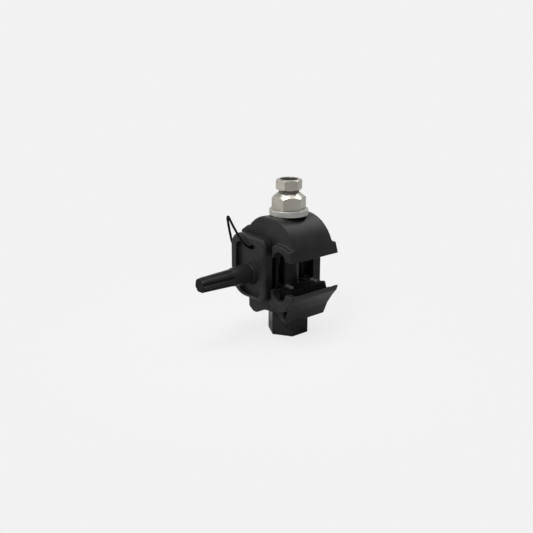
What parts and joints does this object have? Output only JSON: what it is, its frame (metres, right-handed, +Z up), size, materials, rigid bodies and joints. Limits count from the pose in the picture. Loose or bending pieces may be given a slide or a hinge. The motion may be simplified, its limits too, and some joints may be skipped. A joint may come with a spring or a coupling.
{
  "type": "insulation piercing connector",
  "caption": "Open insulation piercing connector: interlocking black polymer jaws on a vertical bolt with a shear nut, toothed contact blades and a tethered rubber end cap.",
  "frame": {"origin": "on the bolt axis, at the flat underside of the hexagonal boss of the lower jaw", "axes": "+Z up along the bolt to the shear nut, Y along the conductors with the end cap at -Y, +X towards the main channel, -X towards the tap channel"},
  "size_m": [0.0526, 0.077, 0.0896],
  "materials": {
    "jaw_polymer": "satin, glass-filled, weather-resistant",
    "cap_rubber": "soft satin",
    "seal_rubber": "matt",
    "nut_alloy": "machined, lightly dulled",
    "washer_steel": "zinc plated",
    "bolt_steel": "zinc plated",
    "contact_metal": "tinned"
  },
  "bodies": {
    "lower": {"lower_body": "jaw_polymer", "clamp_bolt": "bolt_steel", "lower_contact_front": "contact_metal", "lower_contact_rear": "contact_metal", "lower_main_seal": "seal_rubber", "lower_tap_seal": "seal_rubber"},
    "upper": {"upper_body": "jaw_polymer", "load_washer": "washer_steel", "upper_contact_front": "contact_metal", "upper_contact_rear": "contact_metal", "upper_main_seal": "seal_rubber", "upper_tap_seal": "seal_rubber"},
    "nut": {"shear_nut": "nut_alloy"},
    "cap": {"end_cap": "cap_rubber", "tether_cord": "cap_rubber"}
  },
  "joints": [
    {"name": "clamp_close", "type": "slide", "parent": "lower", "child": "upper", "axis": [0, 0, -1], "range_m": [0, 0.0125]},
    {"name": "shear_nut_turn", "type": "hinge", "parent": "upper", "child": "nut", "pos_m": [0, 0, 0.08], "axis": [0, 0, -1], "range_deg": [0, 3600]},
    {"name": "end_cap_pull", "type": "slide", "parent": "lower", "child": "cap", "axis": [0, -1, 0], "range_m": [0, 0.015]}
  ],
  "couplings": [
    {"joint": "shear_nut_turn", "follows": "clamp_close", "rad_per_m": 5026.5}
  ]
}
